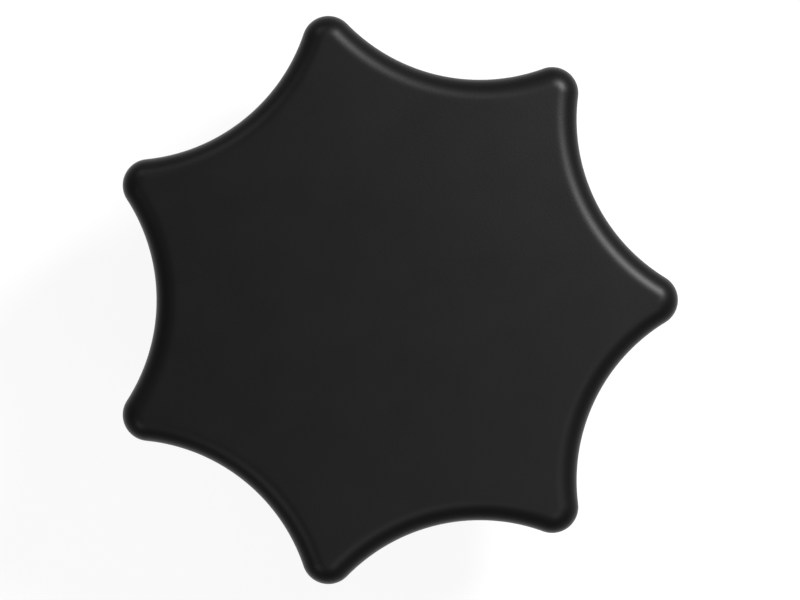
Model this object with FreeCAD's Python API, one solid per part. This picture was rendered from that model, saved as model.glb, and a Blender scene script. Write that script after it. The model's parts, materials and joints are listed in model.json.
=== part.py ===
import FreeCAD, Part
import math
import os

# A hand knob: a lobed plastic head with a hub, moulded in one piece round a brass insert that has a
# blind tapped hole.
# The origin is on the knob's axis, at the insert's end face, which meets the machine. +Z points out
# through the face of the head, and +X through the middle of a lobe.
# Lengths are in millimetres and angles in degrees.

# Head, seen from above
head_diameter = 63.0  # over the lobe tips
lobe_count = 7
flute_depth = 6.5  # from the circle over the tips in to the root of a flute
tip_round = 2.85  # a lobe's tip is one arc of this radius

# Head, seen from the side
rim_height = 16.0  # from the insert's end face up to the rim of the skirt
head_height = 20.0  # from the rim up to the face
edge_round = 2.4  # rounding between the grip and the face, all the way round

# Underside of the head: a skirt, and a rib from the hub to the root of each flute
skirt_wall = 2.8  # plastic between a flute and the hollow behind it
face_wall = 3.5  # plastic between the face and the hollows
rib_thickness = 2.2  # at the rim
rib_draft = 1.0  # lean of each flank of a rib, so that the mould's cores pull out
core_round = 1.6  # radius of a hollow's upright corners

# Hub
hub_diameter = 25.0
hub_chamfer = 0.6

# Threaded insert, for an M12 screw
insert_diameter = 18.0  # over the knurling
insert_length = 28.0
insert_proud = 0.3  # how far the insert's end stands out of the hub
insert_collar = 2.5  # plain length at the end face
insert_chamfer = 0.4
knurl_count = 20
knurl_depth = 0.6
groove_width = 3.0  # between the two knurled bands
groove_depth = 1.2
tapped_diameter = 10.2  # before the thread is cut
tapped_depth = 22.0  # up to where the drill's point begins
drill_point_angle = 118.0
mouth_diameter = 12.6  # of the chamfer that leads the screw in

# The most that the face's rounding may take of the tips' radius
ROUNDING_SHARE = 0.9
# How far a core or a drill runs past the surface that it opens
OVERRUN = 1.0

# Levels
hub_end = insert_proud
face_level = rim_height + head_height
ceiling_level = face_level - face_wall

# Plan of the head: each flute is a circle that touches the tips' arcs on both its sides
pitch = 2 * math.pi / lobe_count
half_pitch = pitch / 2
root_radius = head_diameter / 2 - flute_depth
tip_centre = head_diameter / 2 - tip_round
flute_reach = root_radius - tip_round
flute_centre = (tip_centre ** 2 - flute_reach ** 2) / (2 * (tip_centre * math.cos(half_pitch) - flute_reach))
flute_radius = flute_centre - root_radius

AXIS_FOOT = FreeCAD.Vector(0, 0, 0)
UP = FreeCAD.Vector(0, 0, 1)


def polar(radius, angle, z):
    """Point at a distance from the axis, at an angle in radians from +X."""
    return FreeCAD.Vector(radius * math.cos(angle), radius * math.sin(angle), z)


def towards(centre, radius, target):
    """Point where the circle about a centre is crossed on the way to a target."""
    way = target - centre
    return centre + way * (radius / way.Length)


def arc(start, middle, end):
    """Edge along the arc through three points."""
    return Part.Arc(start, middle, end).toShape()


def turned(profile):
    """Solid of revolution about the axis, from the radii and levels of its half section.

    The half section lies towards -X, so that the seam falls behind a flute and not in a hollow.
    """
    points = [FreeCAD.Vector(-radius, 0, z) for radius, z in profile]
    face = Part.Face(Part.makePolygon(points + points[:1]))
    return face.revolve(AXIS_FOOT, UP, 360)


def edges_round(face):
    """The edges that bound a face outside."""
    return face.OuterWire.Edges


def highest_face(shape):
    """The face whose middle lies highest."""
    return max(shape.Faces, key=lambda face: face.CenterOfMass.z)


def lowest_face(shape):
    """The face whose middle lies lowest."""
    return min(shape.Faces, key=lambda face: face.CenterOfMass.z)


def grip_outline(z):
    """Closed outline of the grip: an arc round each tip and an arc along each flute."""
    edges = []
    for lobe in range(lobe_count):
        middle = lobe * pitch
        tip = polar(tip_centre, middle, z)
        next_tip = polar(tip_centre, middle + pitch, z)
        flute = polar(flute_centre, middle + half_pitch, z)
        last_flute = polar(flute_centre, middle - half_pitch, z)
        tip_start = towards(tip, tip_round, last_flute)
        flute_start = towards(tip, tip_round, flute)
        flute_end = towards(next_tip, tip_round, flute)
        edges.append(arc(tip_start, polar(head_diameter / 2, middle, z), flute_start))
        edges.append(arc(flute_start, polar(root_radius, middle + half_pitch, z), flute_end))
    return Part.Wire(edges)


def head_blank():
    """The head before it is hollowed: the lobed grip, rounded over into the face."""
    blank = Part.Face(grip_outline(rim_height)).extrude(UP * head_height)
    rounding = min(edge_round, ROUNDING_SHARE * tip_round)
    return blank.makeFillet(rounding, edges_round(highest_face(blank)))


def hub_form():
    """The hub's outside, from its chamfered end up to the hollows' ceiling."""
    radius = hub_diameter / 2
    return turned([
        (0, hub_end),
        (radius - hub_chamfer, hub_end),
        (radius, hub_end + hub_chamfer),
        (radius, ceiling_level),
        (0, ceiling_level),
    ])


def sector_outline(z):
    """Outline at a level of the space between two ribs, from where their flanks meet out to the tip."""
    lean = math.tan(math.radians(rib_draft)) * (z - rim_height)
    rib_half = rib_thickness / 2 + lean
    aside = polar(rib_half, half_pitch - math.pi / 2, 0)
    meeting = polar(rib_half / math.sin(half_pitch), 0, z)
    flank_end = polar(root_radius, half_pitch, z) + aside
    other_end = FreeCAD.Vector(flank_end.x, -flank_end.y, z)
    tip = polar(head_diameter / 2, 0, z)
    return Part.makePolygon([meeting, flank_end, tip, other_end, meeting])


def lobe_core():
    """The core that leaves the hollow behind the lobe on +X, between hub, ribs and skirt.

    It is the sector between two ribs, less the hub, and less a round post about each flute's centre
    that leaves the skirt its wall. Its upright corners are rounded.
    """
    bottom = rim_height - OVERRUN
    sector = Part.makeLoft([sector_outline(bottom), sector_outline(ceiling_level)], True, True)
    posts = [hub_form()]
    for angle in (-half_pitch, half_pitch):
        foot = polar(flute_centre, angle, bottom)
        posts.append(Part.makeCylinder(flute_radius + skirt_wall, ceiling_level - bottom, foot))
    core = sector.cut(posts)
    upright = [edge for edge in core.Edges if edge.BoundBox.ZLength > OVERRUN]
    return core.makeFillet(core_round, upright)


def for_each_lobe(shape):
    """Copies of a shape, turned about the axis from lobe to lobe."""
    return [shape.rotated(AXIS_FOOT, UP, math.degrees(lobe * pitch)) for lobe in range(lobe_count)]


def knurled_band(bottom, height):
    """A length of straight knurling, with sharp teeth all round."""
    outer = insert_diameter / 2
    points = []
    for tooth in range(knurl_count):
        angle = tooth * 2 * math.pi / knurl_count
        points.append(polar(outer, angle, bottom))
        points.append(polar(outer - knurl_depth, angle + math.pi / knurl_count, bottom))
    return Part.Face(Part.makePolygon(points + points[:1])).extrude(UP * height)


def insert_body():
    """The outside of the insert, not yet drilled. The head is moulded round this form."""
    knurled_length = insert_length - insert_collar
    band_height = (knurled_length - groove_width) / 2
    collar = Part.makeCylinder(insert_diameter / 2 - knurl_depth, insert_collar)
    collar = collar.makeChamfer(insert_chamfer, edges_round(lowest_face(collar)))
    neck = Part.makeCylinder(insert_diameter / 2 - groove_depth, knurled_length, UP * insert_collar)
    first_band = knurled_band(insert_collar, band_height)
    second_band = knurled_band(insert_length - band_height, band_height)
    return collar.fuse([neck, first_band, second_band]).removeSplitter()


def tapped_hole():
    """The drilled hole with its pointed end, and the chamfer at its mouth."""
    radius = tapped_diameter / 2
    mouth = mouth_diameter / 2
    point = radius / math.tan(math.radians(drill_point_angle / 2))
    return turned([
        (0, -OVERRUN),
        (mouth + OVERRUN, -OVERRUN),
        (radius, mouth - radius),
        (radius, tapped_depth),
        (0, tapped_depth + point),
    ])


def knob_head():
    """The moulding: the hollowed head with its ribs, and the hub round the insert."""
    head = head_blank().cut(for_each_lobe(lobe_core()))
    return head.fuse(hub_form()).cut(insert_body()).removeSplitter()


def threaded_insert():
    """The brass insert: knurled outside, drilled and chamfered for the screw."""
    return insert_body().cut(tapped_hole())


os.makedirs("parts", exist_ok=True)
for name, make in (("knob_head", knob_head), ("threaded_insert", threaded_insert)):
    node = make()
    print(name, "solids:", len(node.Solids), "valid:", node.isValid(), "volume:", round(node.Volume, 1))
    node.exportStep("parts/" + name + ".step")
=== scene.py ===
# %% [markdown]
# # A lobed hand knob, seen from above
# This knob has seven lobes and is moulded in black plastic round a brass insert. It is turned by
# hand to clamp something. The picture looks straight down on its face, so what shows is the
# outline, the soft rounding between face and grip, and how one lamp plays over both.
#
# The model comes first. The construction is already there as a fixed frame, and it gives this
# script its sizes. All lengths here are in metres, as in the frame.

# %% Load the frame
import bmesh
import bpy
import json
import math
import numpy as np
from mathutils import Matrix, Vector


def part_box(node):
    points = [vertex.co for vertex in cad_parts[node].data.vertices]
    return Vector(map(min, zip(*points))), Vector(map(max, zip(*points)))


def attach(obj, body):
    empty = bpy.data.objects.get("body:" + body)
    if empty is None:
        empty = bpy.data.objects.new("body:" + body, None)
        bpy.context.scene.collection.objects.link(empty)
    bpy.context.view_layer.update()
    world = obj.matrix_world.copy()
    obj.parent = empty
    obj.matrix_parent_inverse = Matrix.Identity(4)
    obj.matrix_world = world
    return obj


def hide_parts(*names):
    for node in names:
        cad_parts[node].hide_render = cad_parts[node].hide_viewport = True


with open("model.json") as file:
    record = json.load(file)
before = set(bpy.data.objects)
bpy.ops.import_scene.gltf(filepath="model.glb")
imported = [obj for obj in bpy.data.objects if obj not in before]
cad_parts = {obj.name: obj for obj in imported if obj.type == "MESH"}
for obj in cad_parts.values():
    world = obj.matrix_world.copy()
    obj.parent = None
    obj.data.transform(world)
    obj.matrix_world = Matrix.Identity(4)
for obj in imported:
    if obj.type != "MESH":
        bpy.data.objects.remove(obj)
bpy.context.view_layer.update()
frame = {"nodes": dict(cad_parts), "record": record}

print("nodes in the frame:", sorted(frame["nodes"]))

# %% [markdown]
# ## Sizes
# The frame's boxes give the sizes over all. The radii, walls and drafts that a box can't give are
# written here once, as real sizes, and everything else is worked out from them. A knob like this is
# drawn from few sizes: seven equal tips and seven equal flutes, all of them arcs.

# %% Sizes of the head
mm = 0.001
head_low, head_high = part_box("knob_head")
tip_reach = head_high.x
face_level = head_high.z
hub_end = head_low.z

lobe_count = 7
flute_depth = 6.5 * mm
tip_round = 2.85 * mm
rim_level = 16.0 * mm
edge_round = 2.4 * mm
rim_round = 0.35 * mm

skirt_wall = 2.8 * mm
face_wall = 3.5 * mm
rib_thickness = 2.2 * mm
rib_draft = math.radians(1.0)
core_round = 1.6 * mm
ceiling_round = 0.9 * mm

hub_radius = 12.5 * mm
hub_chamfer = 0.6 * mm
ceiling_level = face_level - face_wall
print("head reaches", round(tip_reach / mm, 2), "mm, face at", round(face_level / mm, 2), "mm")

# %% Sizes of the insert
insert_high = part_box("threaded_insert")[1]
insert_radius = insert_high.x
insert_top = insert_high.z
collar_length = 2.5 * mm
insert_chamfer = 0.4 * mm
knurl_count = 20
knurl_depth = 0.6 * mm
groove_width = 3.0 * mm
groove_depth = 1.2 * mm
collar_radius = insert_radius - knurl_depth
band_length = (insert_top - collar_length - groove_width) / 2

thread = next(mount for mount in frame["record"]["mounts"] if mount["name"] == "thread")
thread_minor = thread["dims"]["r_mm"] * mm
thread_major = 6.0 * mm
thread_pitch = 1.75 * mm
flank_angle = math.radians(30)
mouth_radius = 6.3 * mm
drill_depth = 22.0 * mm
drill_angle = math.radians(118)
drill_point = thread_minor / math.tan(drill_angle / 2)
print("insert and hole radius in mm:", round(insert_top / mm, 2), round(thread_minor / mm, 2))

# %% [markdown]
# ## The outline as arcs
# In plan, a point can be one complex number. An arc about a centre is then the centre plus a radius
# times e to the power i times an angle, and a turn about the axis is one multiplication. Each flute
# is an arc about a centre outside the knob, and it touches the small arc of the tip beside it: the
# two centres lie as far apart as both radii together, and this gives the distance of the flute's.
#
# A free curve could be drawn over a picture instead. Arcs are truer, because such knobs are drawn
# with them, and they are easily moved inwards: the tips' radius shrinks, the flutes' radius grows
# by the same amount, and the centres stay. That is how the rounding keeps its section all round.

# %% Centres of the arcs
pitch = 2 * math.pi / lobe_count
half_pitch = pitch / 2
root_radius = tip_reach - flute_depth
tip_centre = tip_reach - tip_round
flute_reach = root_radius - tip_round
flute_distance = tip_centre ** 2 - flute_reach ** 2
flute_distance /= 2 * (tip_centre * math.cos(half_pitch) - flute_reach)
flute_radius = flute_distance - root_radius
to_rib = np.exp(1j * half_pitch)
flute_centre = flute_distance * to_rib
touch_angle = np.angle(flute_centre - tip_centre)
print("flute radius", round(flute_radius / mm, 3), "mm")

# %% Stretches of an outline
flute_steps = 26
tip_steps = 16


def arc(centre, radius, start, end, steps):
    """Points centre + radius * e^(i angle), with the angle going evenly from start to end.

    The last point is left out, because the next stretch starts there. Columns of values give rows.
    """
    share = np.arange(steps) / steps
    return centre + radius * np.exp(1j * (start + (end - start) * share))


def line(start, end, steps):
    """Points start + (end - start) * share, with the share going evenly from 0 towards 1."""
    share = np.arange(steps) / steps
    return start + (end - start) * share


def column(values):
    """The values as a column, so that each makes a row of a grid."""
    return np.atleast_1d(np.asarray(values, dtype=float))[:, None]


def levels(plan, z):
    """A grid of points (rows, stations, xyz) from plan positions and one level for each row."""
    z = np.broadcast_to(column(z), plan.shape)
    return np.stack([plan.real, plan.imag, z], axis=-1)


def grip_half(inset):
    """From a flute's root to the middle of the tip on +X, moved inwards by each inset."""
    inset = column(inset)
    start, touch = half_pitch + np.pi, touch_angle + np.pi
    flute = arc(flute_centre, flute_radius + inset, start, touch, flute_steps)
    tip = arc(tip_centre, tip_round - inset, touch_angle, 0, tip_steps)
    return np.concatenate([flute, tip], axis=1)


def there_and_back(half, end):
    """A half, its end on +X, and the half mirrored backwards, without the half's first point."""
    end = np.broadcast_to(end, (len(half), 1))
    return np.concatenate([half, end, np.conj(half[:, :0:-1])], axis=1)


def all_round(lobe):
    """The lobe's stations repeated round the axis, clockwise, so that each row is a closed ring."""
    turns = np.exp(-1j * pitch * np.arange(lobe_count))
    return (lobe[:, None, :] * turns[None, :, None]).reshape(len(lobe), -1)


def grip_ring(inset):
    """The knob's outline as closed rings, one for each inset."""
    return all_round(there_and_back(grip_half(inset), tip_reach - column(inset)))


print("stations round the grip:", grip_ring(0).shape[1])

# %% [markdown]
# ## From grids to one closed mesh
# Every surface below is a grid whose rows are closed rings. Two rows side by side make a band of
# four-sided faces. Where two grids meet they have the same points, so merging points that coincide
# sews them together. A row that shrinks to one point closes a surface. Cutting solids out of each
# other would make the same forms, but leaves long thin faces that shade badly.
#
# After sewing, the normals are worked out again so that all faces point outwards, and edges that
# bend more than a limit are marked, so that the rest shades smoothly.

# %% Sewing grids together
merge_distance = 0.002 * mm
collapse_distance = merge_distance / 10
smooth_limit = math.radians(30)


def sew(name, grids, climb=0):
    """An object with one closed mesh, made from grids of points whose rows are closed rings.

    With a climb, the last grid is a screw: a row's last station joins the first station of the row
    that lies this many rows lower.
    """
    points = []
    quads = []
    first = 0
    for grid in grids:
        rows, stations = grid.shape[:2]
        index = first + np.arange(rows * stations).reshape(rows, stations)
        beside = np.roll(index, -1, axis=1)
        if climb and grid is grids[-1]:
            beside[:, -1] = index[np.maximum(np.arange(rows) - climb, 0), 0]
        band = np.stack([index[:-1], beside[:-1], beside[1:], index[1:]], axis=-1)
        quads.append(band.reshape(-1, 4))
        points.append(grid.reshape(-1, 3))
        first += rows * stations
    mesh = bpy.data.meshes.new(name)
    mesh.from_pydata(np.concatenate(points).tolist(), [], np.concatenate(quads).tolist())
    sewn = bmesh.new()
    sewn.from_mesh(mesh)
    bmesh.ops.remove_doubles(sewn, verts=sewn.verts[:], dist=merge_distance)
    bmesh.ops.dissolve_degenerate(sewn, edges=sewn.edges[:], dist=collapse_distance)
    bmesh.ops.recalc_face_normals(sewn, faces=sewn.faces[:])
    open_edges = sum(len(edge.link_faces) != 2 for edge in sewn.edges)
    volume = round(sewn.calc_volume() / mm ** 3)
    sewn.to_mesh(mesh)
    sewn.free()
    mesh.shade_smooth()
    mesh.set_sharp_from_angle(angle=smooth_limit)
    piece = bpy.data.objects.new(name, mesh)
    bpy.context.scene.collection.objects.link(piece)
    print(name, "faces", len(mesh.polygons), "open edges", open_edges, "volume", volume, "mm3")
    return piece


print("points closer than", merge_distance / mm, "mm are merged")

# %% [markdown]
# ## The outside of the head
# On the real knob the grip goes over into the flat face through one rounding that runs round every
# tip and flute. A Bevel modifier could round a plain extrusion, but this rounding is nearly as
# large as a tip, and rows that are worked out are sure to stay even there. A quarter circle gives
# the section: at an angle it lies inwards by the radius times one minus the cosine, and up by the
# radius times the sine. The rim below has a much smaller rounding, because a mould never leaves a
# knife edge where a hand goes.

# %% Outside grid
quarter = math.pi / 2
rounding_rows = 19
small_rounding_rows = 6
grip_rows = 7
face_rows = 10

# The face's first ring lies close to the rounding, so that the face shades flat
edge_ring_share = 0.985
next_ring_share = 0.94

rounding = np.linspace(0, quarter, rounding_rows)
small_rounding = np.linspace(0, quarter, small_rounding_rows)
grip_levels = np.linspace(rim_level + rim_round, face_level - edge_round, grip_rows)
face_shares = np.append(edge_ring_share, np.linspace(next_ring_share, 0, face_rows))


def outside_of_head():
    """Rings from the rim up the grip, over the rounding, and in over the flat face to its middle.

    The two roundings are quarter circles as above, the rim's turned upside down. The face's rings
    are the last ring times shares that go down to 0.
    """
    rim_inset = rim_round * (1 - np.sin(small_rounding))
    rim_z = rim_level + rim_round * (1 - np.cos(small_rounding))
    edge_inset = edge_round * (1 - np.cos(rounding))
    edge_z = face_level - edge_round + edge_round * np.sin(rounding)
    inset = np.concatenate([rim_inset, np.zeros(len(grip_levels) - 2), edge_inset])
    side = grip_ring(inset)
    face = side[-1:] * column(face_shares)
    z = np.concatenate([rim_z, grip_levels[1:-1], edge_z, np.full(len(face), face_level)])
    return levels(np.concatenate([side, face]), z)


print("outside grid:", outside_of_head().shape)

# %% [markdown]
# ## The hollows underneath
# Plastic shrinks as it cools, and a thick lump sinks and warps. So such a head is hollow beneath: a
# hollow behind each lobe, with a rib from the hub to each flute. The hollow's outline is again arcs
# and lines: the hub, a corner, the rib's flank, a corner, the skirt's inner wall and the tip.
# Each corner's centre lies where two walls, both moved by the corner's radius, cross. Worked out
# like this, the outline can be moved inwards and leant over as the walls of a mould are.

# %% Outline of a hollow
hub_steps = 14
hub_corner_steps = 6
flank_steps = 8
skirt_corner_steps = 6
skirt_steps = flute_steps - skirt_corner_steps
wall_radius = flute_radius + skirt_wall


def beside_rib(along, aside):
    """Plan position out along the radius through the flute's root, and aside towards +X."""
    return (along - 1j * aside) * to_rib


def hub_corner(lean):
    """Centre of the corner between the hub and a rib's flank that leans in by this much."""
    aside = rib_thickness / 2 + lean + core_round
    return beside_rib(np.sqrt((hub_radius + core_round) ** 2 - aside ** 2), aside)


def skirt_corner(lean):
    """Centre of the corner between the flank and the skirt's inner wall."""
    aside = rib_thickness / 2 + lean + core_round
    return beside_rib(flute_distance - np.sqrt((wall_radius + core_round) ** 2 - aside ** 2), aside)


tip_corner = flute_centre.real - math.sqrt((wall_radius + core_round) ** 2 - flute_centre.imag ** 2)


def hollow_ring(inset, lean):
    """The hollow behind the lobe on +X as closed rings, each moved inwards by its inset.

    An arc about a corner loses the inset from its radius, one about the hub or a flute gains it.
    """
    inset = column(inset)
    lean = column(lean)
    corner = core_round - inset
    near = hub_corner(lean)
    far = skirt_corner(lean)
    to_flank = half_pitch + quarter
    far_angle = np.angle(flute_centre - far)
    tip_angle = np.angle(flute_centre - tip_corner)
    flank_shift = corner * np.exp(1j * to_flank)
    half = np.concatenate([
        arc(0, hub_radius + inset, 0, np.angle(near), hub_steps),
        arc(near, corner, np.angle(near) + np.pi, to_flank, hub_corner_steps),
        line(near + flank_shift, far + flank_shift, flank_steps),
        arc(far, corner, to_flank, far_angle, skirt_corner_steps),
        arc(flute_centre, wall_radius + inset, far_angle - np.pi, tip_angle - np.pi, skirt_steps),
        arc(tip_corner, corner, tip_angle, 0, tip_steps),
    ], axis=1)
    return there_and_back(half, tip_corner + corner)


print("stations round a hollow:", hollow_ring(0, 0).shape[1])

# %% [markdown]
# ## Walls, ceiling and rim of a hollow
# A core shapes each hollow and is pulled out of it, so the ribs lean a little and the ceiling meets
# the walls in a small round. A pin then pushes the part off the core, and leaves a faint round mark
# in the ceiling. The flat of the rim joins the hollow's mouth to the outline outside.

# %% Grids of a hollow
wall_rows = 6
ceiling_rows = 6
rim_rows = 4
ceiling_rounding = rounding[::2]
pin_radius = 1.75 * mm
pin_step = 0.07 * mm
pin_place = (hub_radius + tip_corner + core_round) / 2

# The rings of the pin's mark: their shares of its radius, and of its step
mark_shares = [0.96, 0.92, 0.5, 0]
mark_rise = [0.5, 1, 1, 1]

# How far each station takes part in the mouth's rounding
mouth_share = np.concatenate([
    np.zeros(hub_steps),
    np.linspace(0, 1, hub_corner_steps),
    np.ones(flank_steps + flute_steps + tip_steps + 1),
])
mouth_share = np.append(mouth_share, mouth_share[-2:0:-1])


def hollow_walls():
    """Rings from the mouth's rounding up the leaning walls and round into the ceiling.

    Both roundings are quarter circles, and the lean is the height above the rim times the draft's
    tangent. The mouth is rounded along ribs and skirt, and not along the hub, which goes on below.
    """
    mouth_inset = -rim_round * (1 - np.sin(small_rounding))
    mouth_z = rim_level + rim_round * (1 - np.cos(small_rounding))
    wall_z = np.linspace(mouth_z[-1], ceiling_level - ceiling_round, wall_rows)[1:-1]
    top_inset = ceiling_round * (1 - np.cos(ceiling_rounding))
    top_z = ceiling_level - ceiling_round * (1 - np.sin(ceiling_rounding))
    z = np.concatenate([mouth_z, wall_z, top_z])
    inset = np.concatenate([mouth_inset, np.zeros(len(wall_z)), top_inset])
    lean = np.tan(rib_draft) * (z - rim_level)
    straight = hollow_ring(np.maximum(inset, 0), lean)
    moved = hollow_ring(inset, lean)
    return levels(straight + (moved - straight) * mouth_share, z)


def hollow_ceiling(edge):
    """Rings from the ceiling's edge to a circle round the pin's mark, then the mark itself.

    A ring lies between the edge and the circle by its share of the way, and the mark's rings are
    the circle times their shares, a step higher.
    """
    out = edge - pin_place
    circle = pin_place + pin_radius * out / np.abs(out)
    flat = circle + (edge - circle) * column(np.linspace(1, 0, ceiling_rows))
    mark = pin_place + (circle - pin_place) * column(mark_shares)
    z = ceiling_level + pin_step * np.append(np.zeros(ceiling_rows), mark_rise)
    return levels(np.concatenate([flat, mark]), z)


def rim_flat(mouth):
    """The flat of the rim: straight lines from the mouth to the outline, rib middles and hub."""
    near_angle = np.angle(hub_corner(0))
    outer = np.concatenate([
        arc(0, hub_radius, 0, near_angle, hub_steps),
        arc(0, hub_radius, near_angle, half_pitch, hub_corner_steps),
        line(hub_radius * to_rib, (root_radius - rim_round) * to_rib, flank_steps),
        grip_half(rim_round)[0],
    ])
    edge = there_and_back(outer[None, :], tip_reach - rim_round)
    share = column(np.linspace(0, 1, rim_rows))
    return levels(mouth + (edge - mouth) * share, rim_level)


def turned_round(grid):
    """The grid's copies for all lobes: plan positions times e to the power i times each angle."""
    plan = grid[..., 0] + 1j * grid[..., 1]
    return [levels(plan * np.exp(1j * lobe * pitch), grid[:, 0, 2]) for lobe in range(lobe_count)]


walls = hollow_walls()
mouth_ring = walls[:1, :, 0] + 1j * walls[:1, :, 1]
ceiling_ring = walls[-1:, :, 0] + 1j * walls[-1:, :, 1]
print("hollow grid:", walls.shape)

# %% [markdown]
# ## The insert's outside, which the plastic grips
# The brass insert is knurled, with a groove half way, so that it neither turns nor pulls out. The
# plastic flows into the knurling, so one function makes the surface for both pieces, and they fit
# without a space between them. A tooth's section is a triangle wave: the distance to the nearest
# ridge, times the depth.

# %% Grid of the insert's outside
round_stations = 2 * lobe_count * (hub_steps + hub_corner_steps)
station_angles = half_pitch - 2 * np.pi * np.arange(round_stations) / round_stations
even_ring = np.exp(1j * station_angles)
tooth_phase = station_angles * knurl_count / (2 * np.pi)
valley = 2 * np.abs(tooth_phase - np.round(tooth_phase))
top_shares = (0.9, 0.5, 0)


def insert_outside(from_level):
    """Rings up the collar, over two knurled bands and the groove between them, and in over the top.

    Each is an even ring times its radius. A knurled radius is the insert's less the depth of the
    knurling times the valley, which is 0 on a ridge and 1 between two.
    """
    knurled = insert_radius - knurl_depth * valley
    groove = insert_radius - groove_depth
    first_top = collar_length + band_length
    second_bottom = insert_top - band_length
    rings = [
        (collar_radius, from_level), (collar_radius, collar_length),
        (knurled, collar_length), (knurled, first_top),
        (groove, first_top), (groove, second_bottom),
        (knurled, second_bottom), (knurled, insert_top),
    ]
    rings += [(share * collar_radius, insert_top) for share in top_shares]
    plan = np.stack([radius * even_ring for radius, z in rings])
    return levels(plan, [z for radius, z in rings])


print("insert outside grid:", insert_outside(0).shape)

# %% [markdown]
# ## The hub
# The hub holds the insert, whose end stands out of it a little and meets the machine. It goes on
# below the rim and ends flat, with a chamfer outside and a far smaller one at the brass. A plain
# turned form would do, but where it meets the rim's flat, both need the same stations. On its end
# they are evenly spaced, as the insert's are, and the flat between takes up the difference.

# %% Grid of the hub
inner_chamfer = 0.15 * mm
hub_rows = 8
flat_margin = 1 * mm


def hub_outside():
    """Rings down the hub from the rim, over its chamfer, and in over its end to the collar.

    The hub's rings are its stations times a radius, and those on its end are even rings.
    """
    near_angle = np.angle(hub_corner(0))
    half = np.append(
        arc(0, hub_radius, half_pitch, near_angle, hub_corner_steps),
        arc(0, hub_radius, near_angle, 0, hub_steps),
    )
    ring = all_round(there_and_back(half[None, :], hub_radius)) / hub_radius
    end_radius = hub_radius - hub_chamfer
    side_radii = np.append(np.full(hub_rows, hub_radius), end_radius)
    side_z = np.append(np.linspace(rim_level, hub_end + hub_chamfer, hub_rows), hub_end)
    inner_edge = collar_radius + inner_chamfer
    end_radii = [end_radius - flat_margin, collar_radius + flat_margin, inner_edge, collar_radius]
    end_z = [hub_end, hub_end, hub_end, hub_end + inner_chamfer]
    plan = np.concatenate([ring * column(side_radii), even_ring * column(end_radii)])
    return levels(plan, np.append(side_z, end_z))


print("hub grid:", hub_outside().shape)

# %% [markdown]
# ## The moulding in one piece
# All its grids are sewn into one closed mesh: outside, seven hollows with their ceilings and rims,
# the hub, and the space that the insert fills.

# %% Sew the head
head_grids = [outside_of_head()]
head_grids += turned_round(walls)
head_grids += turned_round(hollow_ceiling(ceiling_ring))
head_grids += turned_round(rim_flat(mouth_ring))
head_grids += [hub_outside(), insert_outside(hub_end + inner_chamfer)]
head = sew("moulded_head", head_grids)

# %% [markdown]
# ## The insert and its thread
# A thread is a groove that climbs by one pitch for each turn. So its grid climbs too: each row is a
# screw line, with one radius all along, and the rows lie exactly on the corners of the section. On
# level rows each corner would cut across the faces and look like a saw. The section is flat at the
# root, has a flank at thirty degrees, is flat at the crest, and comes back down the other flank.
# Rows are cut off at both ends of the hole by holding their level there.
#
# A chamfer opens the mouth, and the thread runs out before the drill's pointed end.

# %% Rows of the thread
thread_end = 20.5 * mm
thread_fade = 1.2 * mm
root_flat = thread_pitch / 8
flank = (thread_major - thread_minor) * math.tan(flank_angle)

# The corners of the section: the rows they lie on, their places along the axis, and their radii
corner_rows = [0, 2, 8, 10, 16]
corner_places = np.cumsum([0, root_flat, flank, thread_pitch - root_flat - 2 * flank, flank])
corner_radii = [thread_major, thread_major, thread_minor, thread_minor, thread_major]
turn_rows = np.arange(corner_rows[-1])
row_places = np.interp(turn_rows, corner_rows, corner_places)
row_radii = np.interp(turn_rows, corner_rows, corner_radii)
print("crest", round((corner_places[3] - corner_places[2]) / mm, 3), "mm wide")


def thread_wall():
    """The screw grid: a row's level is its place in the section, plus the pitch times the whole
    turns below it, plus the pitch times the station's share of a turn.

    Its radius is the section's, which goes over into the plain hole near the end, and it is never
    less than the mouth's chamfer has at that level: the mouth's radius less the level.
    """
    turns = np.arange(-1, math.ceil(thread_end / thread_pitch) + 1)
    climbed = (turns[:, None] * thread_pitch + row_places).reshape(-1, 1)
    z = np.clip(climbed + thread_pitch * station_angles / (2 * np.pi), 0, thread_end)
    radius = np.tile(row_radii, len(turns))[:, None]
    fade = np.clip((thread_end - z) / thread_fade, 0, 1)
    radius = thread_minor + (radius - thread_minor) * fade
    plan = np.maximum(radius, mouth_radius - z) * even_ring
    return np.stack([plan.real, plan.imag, z], axis=-1)


# %% Ends of the insert
end_face_margin = 0.5 * mm
end_face_rows = 5
drill_rows = 6


def insert_end():
    """Even rings times radii, from the insert's outer chamfer in over its end face to the mouth."""
    face_radii = np.linspace(collar_radius - end_face_margin, mouth_radius, end_face_rows)
    radii = np.append([collar_radius, collar_radius - insert_chamfer], face_radii)
    z = np.append(insert_chamfer, np.zeros(len(radii) - 1))
    return levels(even_ring * column(radii), z)


def drill_end():
    """Rings down the plain hole from the thread's end, and the drill's cone: the radius times
    shares that go from 1 to 0, while the level goes on by the point's height.
    """
    shares = np.linspace(1, 0, drill_rows)
    radii = np.append([thread_minor], thread_minor * shares)
    z = np.append([thread_end], drill_depth + drill_point * (1 - shares))
    return levels(even_ring * column(radii), z)


print("thread grid:", thread_wall().shape, "ends:", insert_end().shape, drill_end().shape)

# %% Sew the insert
insert_grids = [insert_outside(insert_chamfer), insert_end(), drill_end(), thread_wall()]
insert = sew("turned_insert", insert_grids, climb=len(turn_rows))

# %% [markdown]
# ## Where hands rub
# Handling polishes what stands out: the rounding between face and grip, and most of all the tips.
# A number stored with each point can carry that into a finish. It could be painted by hand, but the
# shape already knows: the normal's height tells where the surface bends over, and the distance from
# the axis tells how far out a point lies.

# %% Wear of the head
root_wear = 0.4
clear_wear = 0.1


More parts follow.
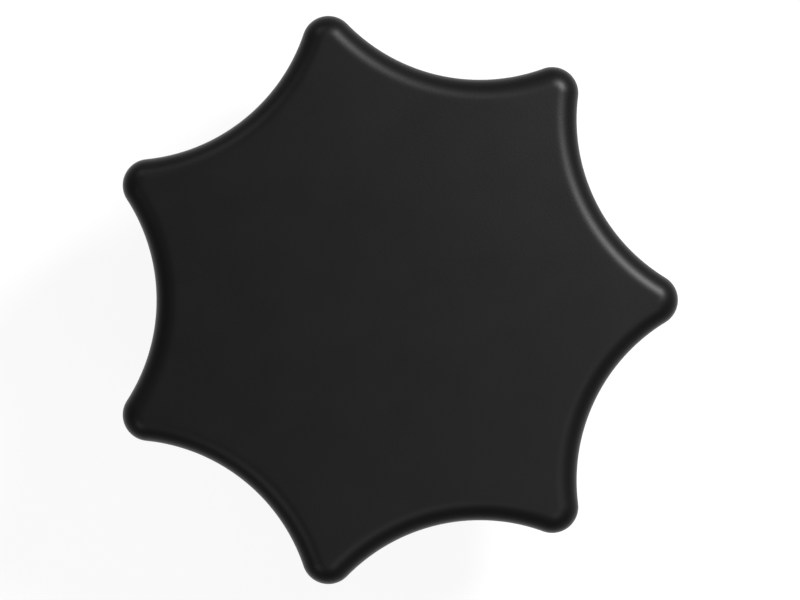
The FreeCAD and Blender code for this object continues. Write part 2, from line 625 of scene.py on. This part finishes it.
def store_wear(piece):
    """Stores a value at each point: 4 h (1 - h), with h the normal's z, times a share that grows
    from the root's wear at a flute's root to 1 at a tip. It is 0 on the face, on the walls and
    underneath.
    """
    mesh = piece.data
    normals = np.empty(3 * len(mesh.vertices))
    points = np.empty(3 * len(mesh.vertices))
    mesh.vertices.foreach_get("normal", normals)
    mesh.vertices.foreach_get("co", points)
    height = np.clip(normals[2::3], 0, 1)
    out = (np.hypot(points[0::3], points[1::3]) - root_radius) / (tip_reach - root_radius)
    share = root_wear + (1 - root_wear) * np.clip(out, 0, 1)
    wear = 4 * height * (1 - height) * share * (points[2::3] > face_level - edge_round)
    mesh.attributes.new("wear", "FLOAT", "POINT").data.foreach_set("value", wear)
    print("points with wear:", int((wear > clear_wear).sum()))


store_wear(head)

# %% [markdown]
# ## Finishes as expressions
# A finish is a network of nodes. Writing each node by hand is long, so one class holds the
# material, and another wraps a socket and knows how to add, subtract and multiply. An expression
# such as `0.4 + 0.05 * spots` then adds its Math nodes by itself.

# %% Two small classes
class Socket:
    """A node's output that can be used in sums. Each operation adds one Math node."""

    def __init__(self, finish, link):
        self.finish = finish
        self.link = link

    def math(self, operation, first, second=0.0):
        """One Math node, with values or sockets in."""
        return self.finish.node("ShaderNodeMath", {"operation": operation}, {0: first, 1: second})

    def sine(self):
        """The sine of the value, in radians."""
        return self.math("SINE", self)

    def __add__(self, other):
        return self.math("ADD", self, other)

    def __sub__(self, other):
        return self.math("SUBTRACT", self, other)

    def __rsub__(self, other):
        return self.math("SUBTRACT", other, self)

    def __mul__(self, other):
        return self.math("MULTIPLY", self, other)

    __radd__ = __add__
    __rmul__ = __mul__


class Finish:
    """A material, or the world, made of nodes."""

    def __init__(self, owner):
        owner.use_nodes = True
        self.owner = owner
        self.tree = owner.node_tree
        self.tree.nodes.clear()

    def node(self, kind, settings, inputs, output=0):
        """Adds a node, sets its settings, then fills its inputs with values and links.

        It returns the output asked for, or nothing where the node has none.
        """
        made = self.tree.nodes.new(kind)
        for name, value in settings.items():
            setattr(made, name, value)
        for name, value in inputs.items():
            if isinstance(value, Socket):
                self.tree.links.new(value.link, made.inputs[name])
            else:
                made.inputs[name].default_value = value
        return Socket(self, made.outputs[output]) if made.outputs else None

    def place(self):
        """Where a point of the piece is, in the piece's own frame, in metres."""
        return self.node("ShaderNodeTexCoord", {}, {}, "Object")

    def reach(self, place):
        """The length of a vector: how far a place lies from the origin."""
        return self.node("ShaderNodeVectorMath", {"operation": "LENGTH"}, {0: place}, "Value")

    def noise(self, size, detail, roughness=0.5):
        """Noise from 0 to 1 with spots of about this size."""
        inputs = {"Vector": self.place(), "Scale": 1 / size}
        inputs.update({"Detail": detail, "Roughness": roughness})
        return self.node("ShaderNodeTexNoise", {}, inputs)

    def between(self, share, dark, light):
        """A colour that goes from one to the other with the share.

        A Mix node has sockets for each kind of value: 6 and 7 in, and 2 out, are its colours.
        """
        inputs = {"Factor": share, 6: dark + (1.0,), 7: light + (1.0,)}
        return self.node("ShaderNodeMix", {"data_type": "RGBA"}, inputs, 2)

    def bump(self, height):
        """A normal from heights in millimetres."""
        return self.node("ShaderNodeBump", {}, {"Height": height, "Distance": mm, "Strength": 1.0})

    def surface(self, inputs):
        """Ends the network in a Principled shader with these inputs."""
        self.output(self.node("ShaderNodeBsdfPrincipled", {}, inputs))

    def output(self, shader):
        """Joins a shader to the output, whose type isn't the same in a material and the world."""
        is_material = isinstance(self.owner, bpy.types.Material)
        kind = "ShaderNodeOutputMaterial" if is_material else "ShaderNodeOutputWorld"
        self.node(kind, {}, {"Surface": shader})


# %% [markdown]
# ## Black moulded plastic
# The head is a nylon filled with glass, moulded against finely eroded steel. It is a deep, slightly
# soft black: the reflections are wide, and the grain can only just be seen near a highlight. The
# colour hardly changes, so the life is in roughness and relief: fine grain, wider cloudy patches
# where the plastic flowed, and very slight waves left by shrinking. They are noise in the piece's
# own coordinates, because an image would show its seams, and from near by its pixels.
#
# The index of refraction is below the plastic's own, because eroded plastic mirrors less than the
# same plastic polished. Roughness alone would spread the reflections without making them weaker.

# %% Finish of the plastic
plastic_index = 1.28
grain_size = 0.22 * mm
cloud_size = 6 * mm
wave_size = 14 * mm
grain_mm = 0.008
wave_mm = 0.03

deep_black = (0.0040, 0.0040, 0.0040)
pale_black = (0.0056, 0.0056, 0.0056)
plastic_roughness = 0.38
rough_by_cloud = 0.05
rough_by_grain = 0.03
smooth_by_wear = 0.06


def black_plastic():
    """Satin black, with fine grain and patches of slightly different gloss."""
    finish = Finish(bpy.data.materials.new("moulded_black"))
    grain = finish.noise(grain_size, detail=3.0, roughness=0.6)
    cloud = finish.noise(cloud_size, detail=4.0)
    wave = finish.noise(wave_size, detail=1.0)
    wear = finish.node("ShaderNodeAttribute", {"attribute_name": "wear"}, {}, "Fac")
    rubbed = wear * cloud
    rough = plastic_roughness + rough_by_cloud * cloud + rough_by_grain * grain
    finish.surface({
        "Base Color": finish.between(cloud, deep_black, pale_black),
        "Roughness": rough - smooth_by_wear * rubbed,
        "IOR": plastic_index,
        "Normal": finish.bump(grain * grain_mm + wave * wave_mm),
    })
    return finish.owner


head.data.materials.append(black_plastic())
print("nodes of the plastic:", len(head.data.materials[0].node_tree.nodes))

# %% [markdown]
# ## Turned brass
# The insert is turned from bar, so its end carries fine rings round the axis. Their height is a
# sine of the distance from the axis. As geometry they would take very many faces, so bump makes
# them, while the thread, which is large enough to see, is in the mesh. Brass gets its colour from
# its reflections, and a few duller spots keep it from looking new and painted.

# %% Finish of the brass
ring_spacing = 0.12 * mm
spot_size = 1.2 * mm
ring_mm = 0.0006
spot_mm = 0.002

deep_brass = (0.60, 0.40, 0.16)
pale_brass = (0.78, 0.56, 0.26)
brass_roughness = 0.22
rough_by_spots = 0.16


def turned_brass():
    """Warm yellow metal with fine turning rings and a few duller spots."""
    finish = Finish(bpy.data.materials.new("turned_brass"))
    sides = {0: finish.place(), 1: (1, 1, 0)}
    flat = finish.node("ShaderNodeVectorMath", {"operation": "MULTIPLY"}, sides)
    rings = (finish.reach(flat) * (2 * math.pi / ring_spacing)).sine()
    spots = finish.noise(spot_size, detail=4.0)
    finish.surface({
        "Base Color": finish.between(spots, deep_brass, pale_brass),
        "Metallic": 1.0,
        "Roughness": brass_roughness + rough_by_spots * spots,
        "Normal": finish.bump(rings * ring_mm + spots * spot_mm),
    })
    return finish.owner


insert.data.materials.append(turned_brass())
print("nodes of the brass:", len(insert.data.materials[0].node_tree.nodes))

# %% [markdown]
# ## The pieces in place of the nodes
# Each piece stands for one node of the construction, whose own mesh is hidden, and rides on the
# part's only body.

# %% Pieces and nodes
pieces = ((head, "knob_head", "black_plastic"), (insert, "threaded_insert", "brass"))
for piece, node, slot in pieces:
    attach(piece, "root")
    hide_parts(node)
print("pieces that ride on root:", [piece.name for piece, node, slot in pieces])

# %% [markdown]
# ## Floor and backdrop
# The knob was photographed on pure white, and yet its rounding mirrors something darker than a wide
# white table. So the floor is white round the knob, over a patch a little larger than the picture.
# It fades smoothly to pale grey, and then runs up into a low wall all round. The white patch glows,
# so it is a painted pool of light round the knob.
#
# Brighter lamps would whiten the floor, but would bleach the knob as well. The material does it
# instead: it glows for the camera and in reflections, which paints the pool of light. A share of it
# is lit by the lamps, so that it still takes a little of the knob's shadow.

# %% Finish of the floor
# Painted pool of light: where the floor glows white round the knob, and how it fades to grey
pool_radius = 0.062
pool_fade = 0.06
pool_white = (1.0, 1.0, 1.0)
far_grey = (0.42, 0.42, 0.42)
shine_share = 0.85
shine = 1.06


def floor_material():
    """A painted pool of light: white round the knob, fading to pale grey, that glows so for the
    camera and in reflections. A share of it is lit by the lamps.
    """
    finish = Finish(bpy.data.materials.new("white_floor"))
    away = finish.reach(finish.place())
    limits = {"Value": away, "From Min": pool_radius, "From Max": pool_radius + pool_fade}
    far = finish.node("ShaderNodeMapRange", {"interpolation_type": "SMOOTHSTEP"}, limits)
    shade = finish.between(far, pool_white, far_grey)
    lit = finish.node("ShaderNodeBsdfDiffuse", {}, {"Color": shade})
    # The glow paints the pool of light: white round the knob, pale grey further out
    glow = finish.node("ShaderNodeEmission", {}, {"Color": shade, "Strength": shine})
    camera = finish.node("ShaderNodeLightPath", {}, {}, "Is Camera Ray")
    glossy = finish.node("ShaderNodeLightPath", {}, {}, "Is Glossy Ray")
    through = finish.node("ShaderNodeLightPath", {}, {}, "Is Transmission Ray")
    share = (camera + glossy + through) * shine_share
    finish.output(finish.node("ShaderNodeMixShader", {}, {0: share, 1: lit, 2: glow}))
    return finish.owner


floor_finish = floor_material()
print("nodes of the floor:", len(floor_finish.node_tree.nodes))

# %% Form of the floor
floor_radius = 1.6
wall_height = 0.2
floor_stations = 96
bend_rows = 12
ring_shares = np.append(0, np.linspace(0.3, 1, 5))


def floor_bowl():
    """A disc whose edge turns up in a quarter circle: radius and level along an arc, all round."""
    around = np.exp(1j * np.linspace(0, 2 * np.pi, floor_stations, endpoint=False))
    bend = np.linspace(0, quarter, bend_rows)[1:]
    radii = np.append(ring_shares * floor_radius, floor_radius + wall_height * np.sin(bend))
    z = np.append(np.zeros(len(ring_shares)), wall_height * (1 - np.cos(bend)))
    floor = sew("floor", [levels(column(radii) * around, z)])
    floor.data.flip_normals()
    floor.data.materials.append(floor_finish)
    return floor


floor = floor_bowl()

# %% [markdown]
# ## Light
# Where a highlight lies on the rounding tells where its lamp is: at the brightest point the normal
# stands half way between the lamp and the camera. One soft lamp stands to the upper right, rather
# near, because its highlight grows weaker from the right-hand flute to the top one. Three weak
# lamps fill the other sides. The world gives a dim grey from everywhere.

# %% Lamps and world
lamp_distance = 0.3
key_power = 1.06
key_size = 0.09
fill_power = 0.085
fill_right_power = 1.3 * fill_power
fill_size = 0.12
air_strength = 0.08


def lamp(name, azimuth, from_zenith, power, size):
    """A round soft lamp that looks at the knob: its azimuth and its angle from straight up, in
    degrees, give its place on a sphere about the origin.
    """
    turn = math.radians(azimuth)
    tilt = math.radians(from_zenith)
    data = bpy.data.lights.new(name, "AREA")
    data.shape = "DISK"
    data.size = size
    data.energy = power
    made = bpy.data.objects.new(name, data)
    made.location = (
        lamp_distance * math.sin(tilt) * math.cos(turn),
        lamp_distance * math.sin(tilt) * math.sin(turn),
        lamp_distance * math.cos(tilt),
    )
    made.rotation_euler = (0, tilt, turn)
    bpy.context.scene.collection.objects.link(made)


lamp("key", azimuth=42, from_zenith=37, power=key_power, size=key_size)
lamp("fill_left", azimuth=122, from_zenith=50, power=fill_power, size=fill_size)
lamp("fill_front", azimuth=226, from_zenith=46, power=fill_power, size=fill_size)
lamp("fill_right", azimuth=300, from_zenith=25, power=fill_right_power, size=fill_size)

world = bpy.data.worlds.new("studio")
bpy.context.scene.world = world
air = Finish(world)
air_inputs = {"Color": (1, 1, 1, 1), "Strength": air_strength}
air.output(air.node("ShaderNodeBackground", {}, air_inputs))

# %% [markdown]
# ## Camera
# The camera looks straight down. How much of the picture the knob fills gives the width of the view
# at the outline's level, and a long lens then gives the distance. The middle of the picture lies
# beside the axis, close to the middle of the knob's box in plan, because seven lobes have no
# opposite sides.

# %% Camera
picture_width = 800
pixels_per_mm = 9.228
picture_middle = 1.384 * mm
lens = 135.0
sensor = 36.0
view_width = picture_width / pixels_per_mm * mm
camera_height = face_level - edge_round + view_width * lens / sensor

camera = bpy.data.objects.new("camera", bpy.data.cameras.new("camera"))
camera.data.lens = lens
camera.data.sensor_width = sensor
camera.location = (picture_middle, 0, camera_height)
bpy.context.scene.collection.objects.link(camera)
bpy.context.scene.camera = camera
bpy.context.scene.view_settings.view_transform = "Standard"
print("camera", round(camera_height, 4), "m above the floor")
